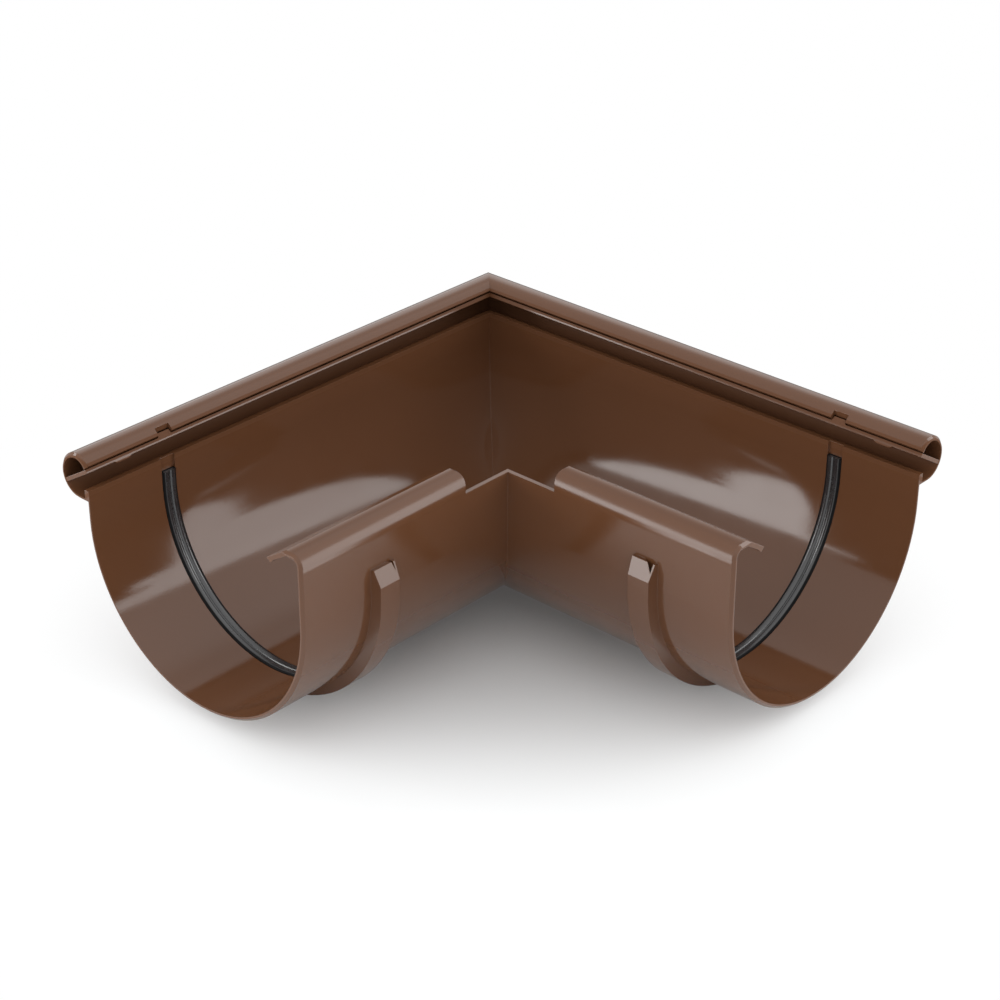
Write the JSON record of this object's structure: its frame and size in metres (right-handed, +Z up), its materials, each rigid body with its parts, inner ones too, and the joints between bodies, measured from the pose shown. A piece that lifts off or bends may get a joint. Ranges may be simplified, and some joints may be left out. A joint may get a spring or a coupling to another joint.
{
  "type": "gutter external angle",
  "caption": "Right-angled half-round gutter corner with a rolled front bead, a hook lip at the rear and a rubber seal in each open end.",
  "frame": {"origin": "middle of the underside of the overall box, at the level of the bands' lowest line", "axes": "+X along leg A towards its open end, -Y along leg B towards its open end, +Z up"},
  "size_m": [0.2452, 0.2452, 0.0953],
  "materials": {
    "pvc": "glossy brown",
    "rubber_seal": "satin black"
  },
  "bodies": {
    "root": {"angle_body": "pvc", "seal_a": "rubber_seal", "seal_b": "rubber_seal"}
  },
  "joints": []
}
